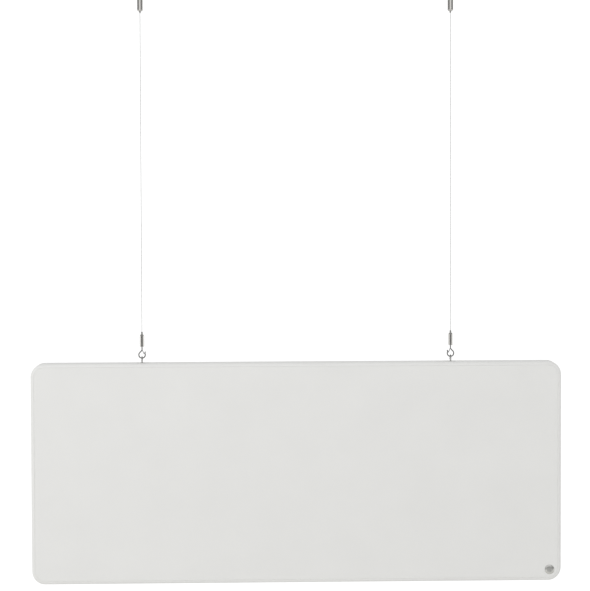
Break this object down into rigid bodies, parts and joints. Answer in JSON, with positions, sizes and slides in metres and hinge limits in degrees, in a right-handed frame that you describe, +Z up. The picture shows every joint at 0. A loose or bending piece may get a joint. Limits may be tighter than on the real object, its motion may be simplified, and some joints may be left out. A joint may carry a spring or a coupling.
{
  "type": "hanging acoustic panel",
  "caption": "Fabric-covered rectangular sound-absorbing panel with rounded corners, hung from the ceiling on steel wires with self-locking grippers, snap hooks and eye screws.",
  "frame": {"origin": "on the ceiling plane, midway between the two ceiling screws", "axes": "+X to the panel's right as seen from the front, front face towards -Y, +Z up"},
  "size_m": [1.2, 0.0414, 1.3451],
  "materials": {
    "cover_fabric": "matte",
    "wadding": "matte",
    "core_felt": "matte",
    "pine": "matte",
    "nickel": "polished",
    "steel": "gloss",
    "spring_steel": "gloss",
    "wire_rope": "satin",
    "badge_metal": "satin"
  },
  "bodies": {
    "ceiling": {"left_ceiling_base": "nickel", "left_ceiling_cap": "nickel", "right_ceiling_base": "nickel", "right_ceiling_cap": "nickel"},
    "left_upper_gripper": {"left_ball_stud": "steel", "left_upper_barrel": "nickel", "left_upper_spring": "spring_steel", "left_wire_top_end": "wire_rope"},
    "left_upper_plunger": {"left_upper_plunger": "steel", "left_upper_balls": "spring_steel"},
    "left_wire": {"left_wire": "wire_rope"},
    "left_hook": {"left_wire_bottom_end": "wire_rope", "left_lower_barrel": "nickel", "left_lower_spring": "spring_steel", "left_hook_plug": "nickel", "left_hook": "steel"},
    "left_lower_plunger": {"left_lower_plunger": "steel", "left_lower_balls": "spring_steel"},
    "left_gate": {"left_gate": "spring_steel"},
    "right_upper_gripper": {"right_ball_stud": "steel", "right_upper_barrel": "nickel", "right_upper_spring": "spring_steel", "right_wire_top_end": "wire_rope"},
    "right_upper_plunger": {"right_upper_plunger": "steel", "right_upper_balls": "spring_steel"},
    "right_wire": {"right_wire": "wire_rope"},
    "right_hook": {"right_wire_bottom_end": "wire_rope", "right_lower_barrel": "nickel", "right_lower_spring": "spring_steel", "right_hook_plug": "nickel", "right_hook": "steel"},
    "right_lower_plunger": {"right_lower_plunger": "steel", "right_lower_balls": "spring_steel"},
    "right_gate": {"right_gate": "spring_steel"},
    "panel": {"left_eye_screw": "steel", "right_eye_screw": "steel", "front_cover": "cover_fabric", "edge_band": "cover_fabric", "back_cover": "cover_fabric", "front_wadding": "wadding", "back_wadding": "wadding", "top_rail": "pine", "bottom_rail": "pine", "left_stile": "pine", "centre_stile": "pine", "right_stile": "pine", "left_core": "core_felt", "right_core": "core_felt", "frame_screws": "steel", "badge": "badge_metal", "badge_pin": "steel"}
  },
  "joints": [
    {"name": "swing_left", "type": "hinge", "parent": "ceiling", "child": "left_upper_gripper", "pos_m": [-0.35, 0, -0.0104], "axis": [1, 0, 0], "range_deg": [-20, 20]},
    {"name": "sway_left", "type": "hinge", "parent": "left_upper_gripper", "child": "left_wire", "pos_m": [-0.35, 0, -0.0563], "axis": [0, 1, 0], "range_deg": [-8, 8]},
    {"name": "hang_left", "type": "hinge", "parent": "left_wire", "child": "left_hook", "pos_m": [-0.35, 0, -0.7747], "axis": [0, 1, 0], "range_deg": [-8, 8]},
    {"name": "panel_tilt", "type": "hinge", "parent": "left_hook", "child": "panel", "pos_m": [-0.35, 0, -0.8344], "axis": [1, 0, 0], "range_deg": [-30, 30]},
    {"name": "left_upper_release", "type": "slide", "parent": "left_upper_gripper", "child": "left_upper_plunger", "axis": [0, 0, 1], "range_m": [0, 0.002], "stiffness_N_per_m": 300, "springref_m": -0.003, "deforming": ["left_upper_spring"]},
    {"name": "left_lower_release", "type": "slide", "parent": "left_hook", "child": "left_lower_plunger", "axis": [0, 0, -1], "range_m": [0, 0.002], "stiffness_N_per_m": 300, "springref_m": -0.003, "deforming": ["left_lower_spring"]},
    {"name": "left_gate_hinge", "type": "hinge", "parent": "left_hook", "child": "left_gate", "pos_m": [-0.35, 0, -0.8145], "axis": [0, 1, 0], "range_deg": [0, 31], "stiffness_Nm_per_rad": 0.002, "springref_deg": -28.65},
    {"name": "swing_right", "type": "hinge", "parent": "ceiling", "child": "right_upper_gripper", "pos_m": [0.35, 0, -0.0104], "axis": [1, 0, 0], "range_deg": [-20, 20]},
    {"name": "sway_right", "type": "hinge", "parent": "right_upper_gripper", "child": "right_wire", "pos_m": [0.35, 0, -0.0563], "axis": [0, 1, 0], "range_deg": [-8, 8]},
    {"name": "hang_right", "type": "hinge", "parent": "right_wire", "child": "right_hook", "pos_m": [0.35, 0, -0.7747], "axis": [0, 1, 0], "range_deg": [-8, 8]},
    {"name": "right_upper_release", "type": "slide", "parent": "right_upper_gripper", "child": "right_upper_plunger", "axis": [0, 0, 1], "range_m": [0, 0.002], "stiffness_N_per_m": 300, "springref_m": -0.003, "deforming": ["right_upper_spring"]},
    {"name": "right_lower_release", "type": "slide", "parent": "right_hook", "child": "right_lower_plunger", "axis": [0, 0, -1], "range_m": [0, 0.002], "stiffness_N_per_m": 300, "springref_m": -0.003, "deforming": ["right_lower_spring"]},
    {"name": "right_gate_hinge", "type": "hinge", "parent": "right_hook", "child": "right_gate", "pos_m": [0.35, 0, -0.8145], "axis": [0, -1, 0], "range_deg": [0, 31], "stiffness_Nm_per_rad": 0.002, "springref_deg": -28.65}
  ],
  "couplings": [
    {"joint": "swing_right", "follows": "swing_left", "ratio": 1},
    {"joint": "sway_right", "follows": "sway_left", "ratio": 1},
    {"joint": "hang_left", "follows": "sway_left", "ratio": -1},
    {"joint": "hang_right", "follows": "sway_left", "ratio": -1}
  ]
}
